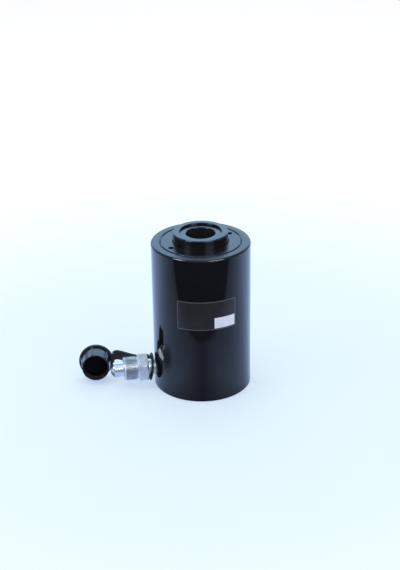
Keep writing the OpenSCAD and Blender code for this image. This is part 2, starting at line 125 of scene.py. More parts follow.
TUBE_R = 22.5 * MM
SADDLE_R = 24.0 * MM
HOLE_R = 16.75 * MM
SPRING_WIRE = 6.5 * MM
SPRING_TURNS = 5.5
CHECK_WIRE = 1.0 * MM
CHECK_TURNS = 8
BASE_HOLE_R = 4.25 * MM
BASE_HOLE_DEPTH = 14.0 * MM
BASE_HOLE_OFF = 50.5 * MM
SPANNER_R = 3.0 * MM
SPANNER_DEPTH = 6.0 * MM
SPANNER_OFF = 39.05 * MM
SPANNER_TURN = math.radians(21)

# Coupler: stations are measured outwards from the barrel's axis
PORT_Z = 23.0 * MM
PORT_R = 8.55 * MM
OIL_R = 3.0 * MM
TAIL_S = 48.0 * MM
NECK_S = 57.8 * MM
HEX_S = 66.6 * MM
THREAD_S = 78.4 * MM
NOSE_S = 95.0 * MM
TIP_S = 110.0 * MM
SHANK_S = 82.6 * MM
POCKET_S = 81.0 * MM
NECK_R = 9.25 * MM
HEX_FLAT_R = 15.875 * MM
HEX_CORNER_R = HEX_FLAT_R / math.cos(math.radians(30))
HEX_SLOPE = math.radians(40)
THREAD_R = 14.1 * MM
THREAD_DEPTH = 0.8 * MM
THREAD_PITCH = 1.411 * MM
RELIEF_DEPTH = 1.4 * MM
NOSE_R = 8.8 * MM
SHANK_R = 9.5 * MM
TIP_LEN = 3.0 * MM
TIP_R = 5.0 * MM
VALVE_R = 4.8 * MM
VALVE_HOLE_R = 2.8 * MM
VALVE_S = 106.8 * MM

# Dust cap and strap
CAP_LEN = 25.0 * MM
CAP_R = 16.2 * MM
CAP_BASE_R = 18.2 * MM
CAP_BORE_R = 14.7 * MM
CAP_END = 3.2 * MM
CAP_FILLET = 1.0 * MM
CAP_LIP_R = 18.6 * MM
CAP_LIP_T = 1.5 * MM
CAP_PITCH = 1.6 * MM
CAP_RIBS = 6
RIB_H = 1.1 * MM
RIB_W = 2.4 * MM
RIB_TURN = math.radians(43)
CAP_YAW = math.radians(8)
CAP_TILT = math.radians(5)
CAP_GAP = 1.2 * MM
CAP_SIDE = 10.1 * MM
STRAP_W = 12.0 * MM
STRAP_T = 2.5 * MM
STRAP_ROUND = 0.6 * MM
HEX_CLEAR = 0.6 * MM
LIP_CLEAR = 0.3 * MM
RING_S = 62.05 * MM
RING_R = 16.4 * MM
RING_HOLE_R = 9.85 * MM
RING_RIM_T = 1.1 * MM
RING_EDGE = 0.45 * MM
RING_TILT = math.radians(8)
BEND_R = 4.0 * MM
STRAP_Y = HEX_CORNER_R + HEX_CLEAR + STRAP_T / 2
FLEX_S = 71.75 * MM
STRAP_PULL = 14.0 * MM
STRAP_BOW = 24.0 * MM
LOOP_R = 20.6 * MM
LOOP_HOLE_R = CAP_BASE_R + SLIDE_FIT
LOOP_S = CAP_LIP_T + PLAY
LOOP_W = 3.3 * MM
RIB_S = LOOP_S + LOOP_W + PLAY
STRAP_HOLD = CAP_LIP_R + LIP_CLEAR + STRAP_T / 2

# Blank label on the barrel: angles are measured from -Y towards +X
LABEL_FROM = math.radians(-39.0)
LABEL_TO = math.radians(31.7)
LABEL_LOW = 93.3 * MM
LABEL_HIGH = 128.6 * MM
LABEL_T = 0.08 * MM
LABEL_ROUND = 1.5 * MM
LABEL_BORDER = 0.9 * MM
FIELD_FROM = math.radians(4.5)
FIELD_TO = math.radians(30.2)
FIELD_LOW = 94.9 * MM
FIELD_HIGH = 108.0 * MM

COUPLER_FRAME = Matrix.Translation((0, 0, PORT_Z)) @ Matrix.Rotation(math.radians(-90), 4, "Y")
cap_reach = CAP_LEN * math.cos(CAP_TILT)
cap_back = Vector((
    -(TIP_S + CAP_GAP + CAP_R * math.cos(CAP_YAW)) + cap_reach * math.sin(CAP_YAW),
    CAP_SIDE + cap_reach * math.cos(CAP_YAW),
    LOOP_R * math.cos(CAP_TILT) - LOOP_S * math.sin(CAP_TILT),
))
CAP_FRAME = (
    Matrix.Translation(cap_back)
    @ Matrix.Rotation(-CAP_YAW, 4, "Z")
    @ Matrix.Rotation(math.radians(90) - CAP_TILT, 4, "X")
)


# Mesh helpers

SAME_POINT = 1e-7
NEAR_POINT = 1e-6


def new_piece(name, bm):
    """Object from a bmesh, at the origin."""
    mesh = bpy.data.meshes.new(name)
    bm.to_mesh(mesh)
    bm.free()
    piece = bpy.data.objects.new(name, mesh)
    bpy.context.scene.collection.objects.link(piece)
    return piece


def everything(bm):
    """All the geometry of a bmesh."""
    return bm.verts[:] + bm.edges[:] + bm.faces[:]


def only(kind, geometry):
    """The vertices or the edges among an operator's results."""
    return [item for item in geometry if isinstance(item, kind)]


def close_up(bm):
    """Merges doubles and turns all faces outwards."""
    bmesh.ops.remove_doubles(bm, verts=bm.verts, dist=SAME_POINT)
    bmesh.ops.recalc_face_normals(bm, faces=bm.faces)


def bevel(bm, geometry, offset, segments, affect="EDGES", clamp=False):
    """Rounds edges, or the corners of a flat outline."""
    bmesh.ops.bevel(
        bm, geom=geometry, offset=offset, offset_type="OFFSET", affect=affect,
        segments=segments, profile=0.5, material=-1, clamp_overlap=clamp,
    )


def spin(bm, geometry, angle, steps, **settings):
    """Draws or copies geometry round Z."""
    bmesh.ops.spin(
        bm, geom=geometry, cent=(0, 0, 0), axis=(0, 0, 1), angle=angle, steps=steps, **settings,
    )


def round_rings(bm, points):
    """Rounds the edges that a turned profile's corners have drawn."""
    for radius, height, rounding in points:
        if rounding == 0 or radius == 0:
            continue
        ring = [
            edge for edge in bm.edges
            if all(
                abs(v.co.xy.length - radius) < NEAR_POINT and abs(v.co.z - height) < NEAR_POINT
                for v in edge.verts
            )
        ]
        bevel(bm, ring, rounding, segments=4, clamp=True)


def turned(points, steps, closed=True):
    """Turned solid about Z from corners given as radius, height and edge rounding."""
    bm = bmesh.new()
    verts = [bm.verts.new((radius, 0, height)) for radius, height, _ in points]
    pairs = list(zip(verts, verts[1:]))
    if closed:
        pairs.append((verts[-1], verts[0]))
    edges = [bm.edges.new(pair) for pair in pairs]
    spin(bm, verts + edges, 2 * math.pi, steps, use_merge=True)
    close_up(bm)
    round_rings(bm, points)
    return bm


def groove(face_r, root_r, lower, upper):
    """Corners, going up, of a groove for one ring or for two that lie on each other."""
    foot = low(lower).z - PLAY
    top = high(upper).z + PLAY
    return [(face_r, foot, 0), (root_r, foot, 0), (root_r, top, 0), (face_r, top, 0)]


def moved(bm, matrix):
    """The same bmesh after a transform."""
    bmesh.ops.transform(bm, matrix=matrix, verts=bm.verts)
    return bm


def combine(piece, tool, operation):
    """Cuts a piece with a tool, joins them or keeps what they share. The tool is used up."""
    step = piece.modifiers.new("combine", "BOOLEAN")
    step.operation = operation
    step.solver = "EXACT"
    step.object = tool
    bpy.context.view_layer.update()
    graph = bpy.context.evaluated_depsgraph_get()
    result = bpy.data.meshes.new_from_object(piece.evaluated_get(graph))
    piece.modifiers.clear()
    piece.data = result
    bpy.data.objects.remove(tool)


def heal(piece):
    """Merges the near doubles and drops the loose edges that a cut leaves behind."""
    bm = bmesh.new()
    bm.from_mesh(piece.data)
    bmesh.ops.remove_doubles(bm, verts=bm.verts, dist=NEAR_POINT)
    bmesh.ops.dissolve_degenerate(bm, dist=NEAR_POINT, edges=bm.edges)
    loose = [edge for edge in bm.edges if not edge.link_faces]
    bmesh.ops.delete(bm, geom=loose, context="EDGES")
    bm.to_mesh(piece.data)
    bm.free()


def sweep(bm, frames):
    """Draws the outline that stands at the first frame through the others and closes its ends."""
    front = bm.edges[:]
    for here, there in zip(frames, frames[1:]):
        grown = bmesh.ops.extrude_edge_only(bm, edges=front)["geom"]
        front = only(bmesh.types.BMEdge, grown)
        verts = only(bmesh.types.BMVert, grown)
        bmesh.ops.transform(bm, matrix=there @ here.inverted(), verts=verts)
    bmesh.ops.holes_fill(bm, edges=bm.edges[:], sides=0)
    close_up(bm)


def drill(radius, depth, matrix):
    """Tool for a hole down from z = 0, with its edge broken."""
    over = 1.0 * MM
    bm = turned(
        [
            (0, -depth, 0), (radius, -depth, 0), (radius, -HOLE_CHAMFER, 0),
            (radius + HOLE_CHAMFER + over, over, 0), (0, over, 0),
        ],
        DRILL_STEPS, closed=False,
    )
    return new_piece("drill", moved(bm, matrix))


def shade(piece, angle=35):
    """Smooth shading that keeps flat faces flat and real corners sharp."""
    mesh = piece.data
    mesh.polygons.foreach_set("use_smooth", [True] * len(mesh.polygons))
    mesh.set_sharp_from_angle(angle=math.radians(angle))
    even = piece.modifiers.new("even_normals", "WEIGHTED_NORMAL")
    even.keep_sharp = True
    return piece


def dress(piece, slot, body, *nodes):
    """Gives a finished piece its material and its body, and hides the nodes that it stands for."""
    piece.data.materials.clear()
    piece.data.materials.append(FINISHES[slot])
    if body:
        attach(piece, body)
    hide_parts(*nodes)


# Shader helpers, where an input is a socket or a plain value

def add_node(tree, kind, output, inputs, **settings):
    """Output of a new shader node."""
    made = tree.nodes.new("ShaderNode" + kind)
    for name, value in settings.items():
        setattr(made, name, value)
    for key, value in inputs.items():
        if isinstance(value, bpy.types.NodeSocket):
            tree.links.new(value, made.inputs[key])
        else:
            made.inputs[key].default_value = value
    return made.outputs[output]


def math_node(tree, operation, first, second):
    """Result of one sum."""
    return add_node(tree, "Math", "Value", {0: first, 1: second}, operation=operation)


def measure(tree, operation, first, second=(0, 0, 0)):
    """LENGTH of a vector or DISTANCE between two."""
    return add_node(tree, "VectorMath", "Value", {0: first, 1: second}, operation=operation)


def axis_distance(tree, place):
    """Distance from the Z axis."""
    flat = {0: place, 1: (1, 1, 0)}
    return measure(tree, "LENGTH", add_node(tree, "VectorMath", "Vector", flat, operation="MULTIPLY"))


def along(tree, place, axis):
    """One of a vector's three parts."""
    return add_node(tree, "SeparateXYZ", axis, {"Vector": place})


def ramp(tree, value, low_at, high_at, low_value=0.0, high_value=1.0):
    """Clamped linear ramp."""
    return add_node(tree, "MapRange", "Result", {
        "Value": value, "From Min": low_at, "From Max": high_at,
        "To Min": low_value, "To Max": high_value,
    })


def noise(tree, place, scale, detail, roughness):
    """Noise texture."""
    return add_node(tree, "TexNoise", "Fac", {
        "Vector": place, "Scale": scale, "Detail": detail, "Roughness": roughness,
    })


def mix_colors(tree, factor, first, second):
    """Mix of two colours, the first of which may be a socket."""
    if not isinstance(first, bpy.types.NodeSocket):
        first = (*first, 1.0)
    mixed = {"Factor": factor, "A": first, "B": (*second, 1.0)}
    return add_node(tree, "Mix", "Result", mixed, data_type="RGBA")


def new_group(name, inputs, outputs):
    """Shader group from a vector and floats to floats, with its inner sockets."""
    group = bpy.data.node_groups.new(name, "ShaderNodeTree")
    group.interface.new_socket("Vector", in_out="INPUT", socket_type="NodeSocketVector")
    for way, labels in (("INPUT", inputs), ("OUTPUT", outputs)):
        for label in labels:
            group.interface.new_socket(label, in_out=way, socket_type="NodeSocketFloat")
    taken = group.nodes.new("NodeGroupInput").outputs
    given = group.nodes.new("NodeGroupOutput").inputs
    return group, taken, given


# Shader groups that several finishes share

def make_grain_group():
    """Fine skin of paint, plastic or rubber: a height for bump and a slow tone."""
    group, taken, given = new_group(
        "surface_grain", ["Fine Scale", "Broad Scale"], ["Height", "Tone"],
    )
    height = noise(group, taken["Vector"], taken["Fine Scale"], detail=2.0, roughness=0.5)
    broad = noise(group, taken["Vector"], taken["Broad Scale"], detail=4.0, roughness=0.6)
    group.links.new(height, given["Height"])
    group.links.new(ramp(group, broad, 0.3, 0.7), given["Tone"])
    return group


def make_dust_group():
    """Settled specks and faint wipe marks, as one mask."""
    group, taken, given = new_group("dust_and_wipes", ["Amount"], ["Mask"])
    place = taken["Vector"]
    specks = add_node(group, "TexVoronoi", "Distance", {"Vector": place, "Scale": 420.0})
    dots = ramp(group, specks, 0.10, 0.04)
    gate = noise(group, place, scale=60.0, detail=3.0, roughness=0.6)
    where = ramp(group, gate, 0.52, 0.68)
    wipe = noise(group, place, scale=22.0, detail=5.0, roughness=0.65)
    smear = ramp(group, wipe, 0.45, 0.75, high_value=0.5)
    total = math_node(group, "MAXIMUM", math_node(group, "MULTIPLY", dots, where), smear)
    group.links.new(math_node(group, "MULTIPLY", total, taken["Amount"]), given["Mask"])
    return group


def make_lathe_group():
    """Turning marks round an axis: fine rings along the height of a vector whose Z is that axis."""
    group, taken, given = new_group("turning_marks", ["Rings"], ["Height", "Tone"])
    place = taken["Vector"]
    line = math_node(group, "ADD", along(group, place, "Z"), axis_distance(group, place))
    marks = {"W": line, "Scale": taken["Rings"], "Detail": 4.0, "Roughness": 0.7}
    height = add_node(group, "TexNoise", "Fac", marks, noise_dimensions="1D")
    group.links.new(height, given["Height"])
    group.links.new(ramp(group, height, 0.3, 0.7), given["Tone"])
    return group


GRAIN = make_grain_group()
DUST = make_dust_group()
LATHE = make_lathe_group()


class Finish:
    """A Principled material that reads Object coordinates."""

    def __init__(self, name, color, roughness, metallic=0.0):
        self.material = bpy.data.materials.new(name)
        self.material.use_nodes = True
        self.material.diffuse_color = (*color, 1.0)
        self.tree = self.material.node_tree
        self.shader = self.tree.nodes["Principled BSDF"]
        self.shader.inputs["Base Color"].default_value = (*color, 1.0)
        self.shader.inputs["Roughness"].default_value = roughness
        self.shader.inputs["Metallic"].default_value = metallic
        self.place = self.tree.nodes.new("ShaderNodeTexCoord").outputs["Object"]

    def turn_place(self, location, rotation):
        """Moves the coordinates into the frame of a turned part."""
        inputs = {"Vector": self.place, "Location": location, "Rotation": rotation}
        self.place = add_node(self.tree, "Mapping", "Vector", inputs, vector_type="TEXTURE")

    def shared(self, group, values):
        """Outputs of one of the shared groups, with its own values."""
        made = self.tree.nodes.new("ShaderNodeGroup")
        made.node_tree = group
        self.tree.links.new(self.place, made.inputs["Vector"])
        for label, value in values.items():
            made.inputs[label].default_value = value
        return made.outputs

    def grain(self, fine_scale, broad_scale):
        """Tone and height of the skin."""
        skin = self.shared(GRAIN, {"Fine Scale": fine_scale, "Broad Scale": broad_scale})
        return skin["Tone"], skin["Height"]

    def dust(self, amount):
        """Mask of the dust."""
        return self.shared(DUST, {"Amount": amount})["Mask"]

    def lathe(self, rings):
        """Tone and height of the turning marks."""
        marks = self.shared(LATHE, {"Rings": rings})
        return marks["Tone"], marks["Height"]

    def above(self, low_z, high_z):
        """Mask that comes in between two heights."""
        return ramp(self.tree, along(self.tree, self.place, "Z"), low_z, high_z)

    def within(self, near_r, far_r):
        """Mask that goes out between two distances from the Z axis."""
        return ramp(self.tree, axis_distance(self.tree, self.place), near_r, far_r, 1.0, 0.0)

    def both(self, operation, first, second):
        """Two masks put together by a sum such as MAXIMUM or MULTIPLY."""
        return math_node(self.tree, operation, first, second)

    def bump(self, height, distance):
        """Bump of a real depth, added over any bump that is there."""
        inputs = {"Height": height, "Distance": distance, "Strength": 1.0}
        normal = self.shader.inputs["Normal"]
        if normal.is_linked:
            inputs["Normal"] = normal.links[0].from_socket
        self.tree.links.new(add_node(self.tree, "Bump", "Normal", inputs), normal)

    def roughen(self, mask, low_value, high_value):
        """Runs the roughness between two levels by a mask."""
        level = ramp(self.tree, mask, 0.0, 1.0, low_value, high_value)
        self.tree.links.new(level, self.shader.inputs["Roughness"])

    def tint(self, mask, low_color, high_color):
        """Runs the base colour between two colours by a mask."""
        color = mix_colors(self.tree, mask, low_color, high_color)
        self.tree.links.new(color, self.shader.inputs["Base Color"])

    def coat(self, mask, color):
        """Lays a colour over the tint that is there by a mask."""
        base = self.shader.inputs["Base Color"]
        over = mix_colors(self.tree, mask, base.links[0].from_socket, color)
        self.tree.links.new(over, base)


# Finishes: scales are per metre, bump depths are real lengths

BLACK_DUST = (0.03, 0.03, 0.035)
COUPLER_PLACE = ((0, 0, PORT_Z), (0, math.radians(-90), 0))


def black_enamel():
    """Gloss paint on the barrel and the gland, duller with turning marks on top."""
    finish = Finish("black_enamel", (0.006, 0.006, 0.007), 0.08)
    tone, height = finish.grain(420.0, 18.0)
    dust = finish.dust(0.25)
    finish.tint(tone, (0.005, 0.005, 0.006), (0.007, 0.007, 0.008))
    finish.coat(dust, BLACK_DUST)
    top = finish.above(BARREL_H - 0.8 * MM, BARREL_H - 0.2 * MM)
    _, marks = finish.lathe(1500.0)
    finish.roughen(finish.both("MAXIMUM", dust, top), 0.07, 0.27)
    finish.bump(height, 0.012 * MM)
    finish.bump(finish.both("MULTIPLY", marks, top), 0.006 * MM)
    return finish.material


def black_plunger():
    """Blackened steel with turning marks, lighter in the through hole."""
    finish = Finish("black_plunger", (0.007, 0.007, 0.008), 0.12)
    tone, marks = finish.lathe(2600.0)
    dust = finish.dust(0.3)
    finish.tint(tone, (0.006, 0.006, 0.007), (0.009, 0.009, 0.010))
    finish.coat(dust, BLACK_DUST)
    finish.coat(finish.within(HOLE_R + 0.1 * MM, HOLE_R + 0.3 * MM), (0.026, 0.024, 0.024))
    finish.roughen(dust, 0.16, 0.28)
    finish.bump(marks, 0.004 * MM)
    return finish.material


def zinc_plate():
    """Dull plating with dust, painted shade darkening the thread in patches and painted highlights on
    the bands at both ends of it.
    """
    finish = Finish("zinc_plate", (0.60, 0.61, 0.62), 0.42, 1.0)
    finish.turn_place(*COUPLER_PLACE)
    tone, height = finish.grain(1100.0, 160.0)
    _, marks = finish.lathe(3200.0)
    finish.tint(tone, (0.57, 0.56, 0.53), (0.80, 0.78, 0.72))
    finish.coat(finish.dust(0.5), (0.22, 0.22, 0.23))
    past_chamfer = finish.above(THREAD_S - 1.2 * MM, THREAD_S - 0.8 * MM)
    past_hexagon = finish.above(THREAD_S + 0.2 * MM, THREAD_S + 0.8 * MM)
    lead = finish.above(NOSE_S - 2.0 * MM, NOSE_S - 1.4 * MM)
    thread = finish.both("SUBTRACT", past_hexagon, lead)
    # Painted shade: the thread is darkened in patches, standing in for the shade in its grooves
    finish.coat(finish.both("MULTIPLY", thread, tone), (0.36, 0.36, 0.35))
    # Painted highlights: pale bands at the hexagon's chamfered end and at the thread's lead-in stand in
    # for light caught on those edges
    edge = finish.both("SUBTRACT", past_chamfer, past_hexagon)
    finish.coat(finish.both("MAXIMUM", edge, lead), (0.90, 0.90, 0.89))
    finish.roughen(tone, 0.32, 0.48)
    finish.bump(marks, 0.008 * MM)
    finish.bump(height, 0.03 * MM)
    return finish.material


def machined(name, colors, roughness, rings, grain, in_coupler=False, depth=0.005 * MM):
    """Turned metal: the skin's tone runs its colour, the turning marks its roughness and bump."""
    finish = Finish(name, colors[1], roughness[1], 1.0)
    if in_coupler:
        finish.turn_place(*COUPLER_PLACE)
    mark_tone, marks = finish.lathe(rings)
    tone, _ = finish.grain(*grain)
    finish.tint(tone, *colors)
    finish.roughen(mark_tone, *roughness)
    finish.bump(marks, depth)
    return finish.material


def grained(name, colors, roughness, grain, dust=None, depth=0.02 * MM):
    """Plastic, rubber or paper: its skin runs colour, roughness and bump, under any dust."""
    finish = Finish(name, colors[1], roughness[1])
    tone, height = finish.grain(*grain)
    finish.tint(tone, *colors)
    if dust:
        amount, dust_color = dust
        finish.coat(finish.dust(amount), dust_color)
    finish.roughen(tone, *roughness)
    finish.bump(height, depth)
    return finish.material


def darker(color, share):
    """A colour and a darker one, the darker first."""
    return tuple(share * c for c in color), color


def about(middle):
    """Two levels round a middle one."""
    spread = 0.08
    return middle - spread, middle + spread


def inner_metal(name, color, roughness, rings):
    return machined(name, darker(color, 0.82), about(roughness), rings, grain=(900.0, 50.0))


def inner_soft(name, color, roughness):
    return grained(name, darker(color, 0.8), about(roughness), grain=(1200.0, 80.0))


def label_paper(name, color, dust_color, roughness):
    return grained(
        name, darker(color, 0.88), (roughness - 0.05, roughness + 0.08),
        grain=(2200.0, 60.0), dust=(0.08, dust_color), depth=0.006 * MM,
    )


def shaded_cap_inside():
    """Dull unpolished plastic inside the cap, darker than the outside as painted shade in its hollow.
    """
    material = grained(
        "shaded_cap_inside", ((0.002, 0.002, 0.002), (0.004, 0.004, 0.004)), roughness=(0.55, 0.70),
        grain=(1600.0, 90.0),
    )
    shader = material.node_tree.nodes["Principled BSDF"]
    shader.inputs["Specular IOR Level"].default_value = 0.2
    return material


FINISHES = {
    "black_enamel": black_enamel(),
    "black_plunger": black_plunger(),
    "zinc_plate": zinc_plate(),
    "polished_steel": machined(
        "polished_steel", ((0.70, 0.70, 0.69), (0.80, 0.80, 0.78)), roughness=(0.20, 0.30),
        rings=4200.0, grain=(1500.0, 120.0), in_coupler=True, depth=0.001 * MM,
    ),
    "cap_plastic": grained(
        "cap_plastic", ((0.005, 0.005, 0.006), (0.008, 0.008, 0.009)), roughness=(0.18, 0.28),
        grain=(1600.0, 90.0), dust=(0.3, BLACK_DUST),
    ),
    "strap_rubber": grained(
        "strap_rubber", ((0.014, 0.013, 0.013), (0.023, 0.021, 0.021)), roughness=(0.55, 0.75),
        grain=(1300.0, 70.0), dust=(0.45, (0.06, 0.058, 0.056)), depth=0.04 * MM,
    ),
    "tube_steel": inner_metal("tube_steel", (0.42, 0.43, 0.45), 0.28, 3000.0),
    "spring_steel": inner_metal("spring_steel", (0.20, 0.20, 0.22), 0.42, 800.0),
    "bearing_bronze": inner_metal("bearing_bronze", (0.55, 0.40, 0.20), 0.35, 2400.0),
    "seal_rubber": inner_soft("seal_rubber", (0.020, 0.020, 0.020), 0.55),
    "backup_plastic": inner_soft("backup_plastic", (0.78, 0.77, 0.72), 0.45),
    "seal_urethane": inner_soft("seal_urethane", (0.60, 0.45, 0.12), 0.40),
    "wear_plastic": inner_soft("wear_plastic", (0.25, 0.16, 0.09), 0.60),
}


# Pieces

def barrel():
    seat_r = GLAND_R + THREAD_FIT
    tube_hole_r = TUBE_R + THREAD_FIT
    ring_r = high("tube_backup_ring").x + THREAD_FIT
    piece = new_piece("barrel", turned([
        (tube_hole_r, 0, FINE_EDGE),
        (BARREL_R - FOOT_CHAMFER, 0, FINE_EDGE),
        (BARREL_R, FOOT_CHAMFER, FINE_EDGE),
        (BARREL_R, BARREL_H, BARREL_ROUND),
        (seat_r + SEAM_CHAMFER, BARREL_H, FINE_EDGE),
        (seat_r, BARREL_H - SEAM_CHAMFER, 0),
        (seat_r, GLAND_Z, 0),
        (BORE_R, GLAND_Z, FINE_EDGE),
        (BORE_R, BASE_T, SOFT_EDGE),
        (tube_hole_r, BASE_T, FINE_EDGE),
        *reversed(groove(tube_hole_r, ring_r, "tube_o_ring", "tube_backup_ring")),
    ], WIDE_STEPS))
    oil_from = BORE_R - 3.0 * MM
    port_from = TAIL_S - 0.3 * MM
    port_to = BARREL_R + 1.0 * MM
    port_r = PORT_R + THREAD_FIT
    port = turned([
        (0, oil_from, 0), (OIL_R, oil_from, 0), (OIL_R, port_from, 0),
        (port_r, port_from, 0), (port_r, port_to, 0), (0, port_to, 0),
    ], PORT_STEPS, closed=False)
    combine(piece, new_piece("port", moved(port, COUPLER_FRAME)), "DIFFERENCE")
    for side in (-1, 1):
        under = Matrix.Translation((0, side * BASE_HOLE_OFF, 0)) @ Matrix.Rotation(math.pi, 4, "X")
        combine(piece, drill(BASE_HOLE_R, BASE_HOLE_DEPTH, under), "DIFFERENCE")
    dress(shade(piece), "black_enamel", "cylinder", "cylinder_body")


def gland():
    slide_r = PLUNGER_R + GUIDE_FIT
    stop_low = low("gland_nut").z
    stop_r = slide_r + STOP_WALL
    lip_r = PLUNGER_R + LIP_GAP
    lip_low = BARREL_H - LIP_H
    wiper_low = low("rod_wiper").z - PLAY
    wiper_r = high("rod_wiper").x + SLIDE_FIT
    bearing_r = PLUNGER_R + BEARING_DEPTH
    piece = new_piece("gland_ring", turned([
        (slide_r, stop_low, FINE_EDGE),
        (stop_r, stop_low, FINE_EDGE),
        (stop_r, GLAND_Z, 0),
        (GLAND_R, GLAND_Z, FINE_EDGE),
        (GLAND_R, BARREL_H - SEAM_CHAMFER, 0),
        (GLAND_R - SEAM_CHAMFER, BARREL_H, FINE_EDGE),
        (lip_r, BARREL_H, FINE_EDGE),
        (lip_r, lip_low, 0),
        (wiper_r, lip_low, 0),
        (wiper_r, wiper_low, 0),
        (slide_r, wiper_low, 0),
        *reversed(groove(slide_r, bearing_r, "gland_bearing", "gland_bearing")),
    ], WIDE_STEPS))
    for half_turn in (0, math.pi):
        turn = Matrix.Rotation(SPANNER_TURN + half_turn, 4, "Z")
        spot = turn @ Matrix.Translation((SPANNER_OFF, 0, BARREL_H))
        combine(piece, drill(SPANNER_R, SPANNER_DEPTH, spot), "DIFFERENCE")
    dress(shade(piece), "black_enamel", "cylinder", "gland_nut")


def plunger():
    slide_r = TUBE_R + SLIDE_FIT
    wide_r = TUBE_R + 0.75 * MM
    wide_z = high("tube_wear_ring").z + PLAY + 3.0 * MM
    seat_z = low("saddle").z
    seat_r = SADDLE_R + THREAD_FIT
    rim = 1.3 * MM
    piece = new_piece("plunger_tube", turned([
        (slide_r, PLUNGER_FOOT, FINE_EDGE),
        (RELIEF_R, PLUNGER_FOOT, SOFT_EDGE),
        (RELIEF_R, RELIEF_Z, 0),
        (PISTON_R, RELIEF_Z, FINE_EDGE),
        *groove(PISTON_R, BORE_R - SEAL_DEPTH, "piston_seal", "piston_backup_ring"),
        *groove(PISTON_R, BORE_R - WEAR_DEPTH, "piston_wear_ring", "piston_wear_ring"),
        (PISTON_R, PISTON_TOP, FINE_EDGE),
        (PLUNGER_R, PISTON_TOP, SOFT_EDGE),
        (PLUNGER_R, PLUNGER_TOP, rim),
        (seat_r + rim / 2, PLUNGER_TOP, FINE_EDGE),
        (seat_r, PLUNGER_TOP - rim / 2, FINE_EDGE),
        (seat_r, seat_z, 0),
        (wide_r, seat_z, FINE_EDGE),
        (wide_r, wide_z, 0),
        (slide_r, wide_z, FINE_EDGE),
        *reversed(groove(slide_r, TUBE_R + WEAR_DEPTH, "tube_wear_ring", "tube_wear_ring")),
        *reversed(groove(slide_r, TUBE_R + INNER_SEAL_DEPTH, "tube_seal", "tube_seal_backup")),
    ], WIDE_STEPS))
    dress(shade(piece), "black_plunger", "plunger", "plunger")


def saddle():
    top = high("saddle").z
    foot = low("saddle").z
    piece = new_piece("saddle_ring", turned([
        (HOLE_R, foot, FINE_EDGE),
        (SADDLE_R, foot, FINE_EDGE),
        (SADDLE_R, top, SADDLE_ROUND),
        (HOLE_R + SADDLE_CHAMFER, top, FINE_EDGE),
        (HOLE_R, top - SADDLE_CHAMFER, FINE_EDGE),
    ], SADDLE_STEPS))
    dress(shade(piece), "black_plunger", "plunger", "saddle")


def hexagon():
    """Hexagon with its corners turned off at both ends, hollow in the middle."""
    bm = bmesh.new()
    bmesh.ops.create_circle(bm, cap_ends=True, segments=6, radius=HEX_CORNER_R)
    raised = bmesh.ops.extrude_face_region(bm, geom=bm.faces[:])["geom"]
    top = only(bmesh.types.BMVert, raised)
    bmesh.ops.translate(bm, vec=(0, 0, THREAD_S - HEX_S), verts=top)
    close_up(bm)
    long_edges = [e for e in bm.edges if abs(e.verts[0].co.z - e.verts[1].co.z) > FINE_EDGE]
    bevel(bm, long_edges, FINE_EDGE, segments=3)
    corner_up = Matrix.Rotation(math.radians(90), 4, "Z")
    piece = new_piece("hexagon", moved(bm, Matrix.Translation((0, 0, HEX_S)) @ corner_up))
    hollow_r = 11.0 * MM
    end_r = HEX_FLAT_R - 0.2 * MM
    drop = (HEX_CORNER_R - HEX_FLAT_R) * math.tan(HEX_SLOPE) + 0.1 * MM
    envelope = turned([
        (hollow_r, HEX_S, 0),
        (end_r, HEX_S, 0),
        (HEX_CORNER_R, HEX_S + drop, 0),
        (HEX_CORNER_R, THREAD_S - drop, 0),
        (end_r, THREAD_S, 0),
        (hollow_r, THREAD_S, 0),
    ], HEX_STEPS)
    combine(piece, new_piece("envelope", envelope), "INTERSECT")
    return piece


def thread_ridge(root_r, crest_r, start, end, pitch):
    """Ridge of a right-handed thread round Z, open to be trimmed at both ends."""
    root_half = 0.46 * pitch
    crest_half = 0.09 * pitch
    turn_steps = 72
    bm = bmesh.new()
    section = [(root_r, -root_half), (crest_r, -crest_half), (crest_r, crest_half), (root_r, root_half)]
    verts = [bm.verts.new((r, 0, start + z)) for r, z in section]
    face = bm.faces.new(verts)
    turns = (end - start) / pitch
    count = round(turns * turn_steps)
    rise = (0, 0, (end - start) / count)
    spin(bm, [face, *face.edges, *verts], turns * 2 * math.pi, count, dvec=rise)
    close_up(bm)
    return bm


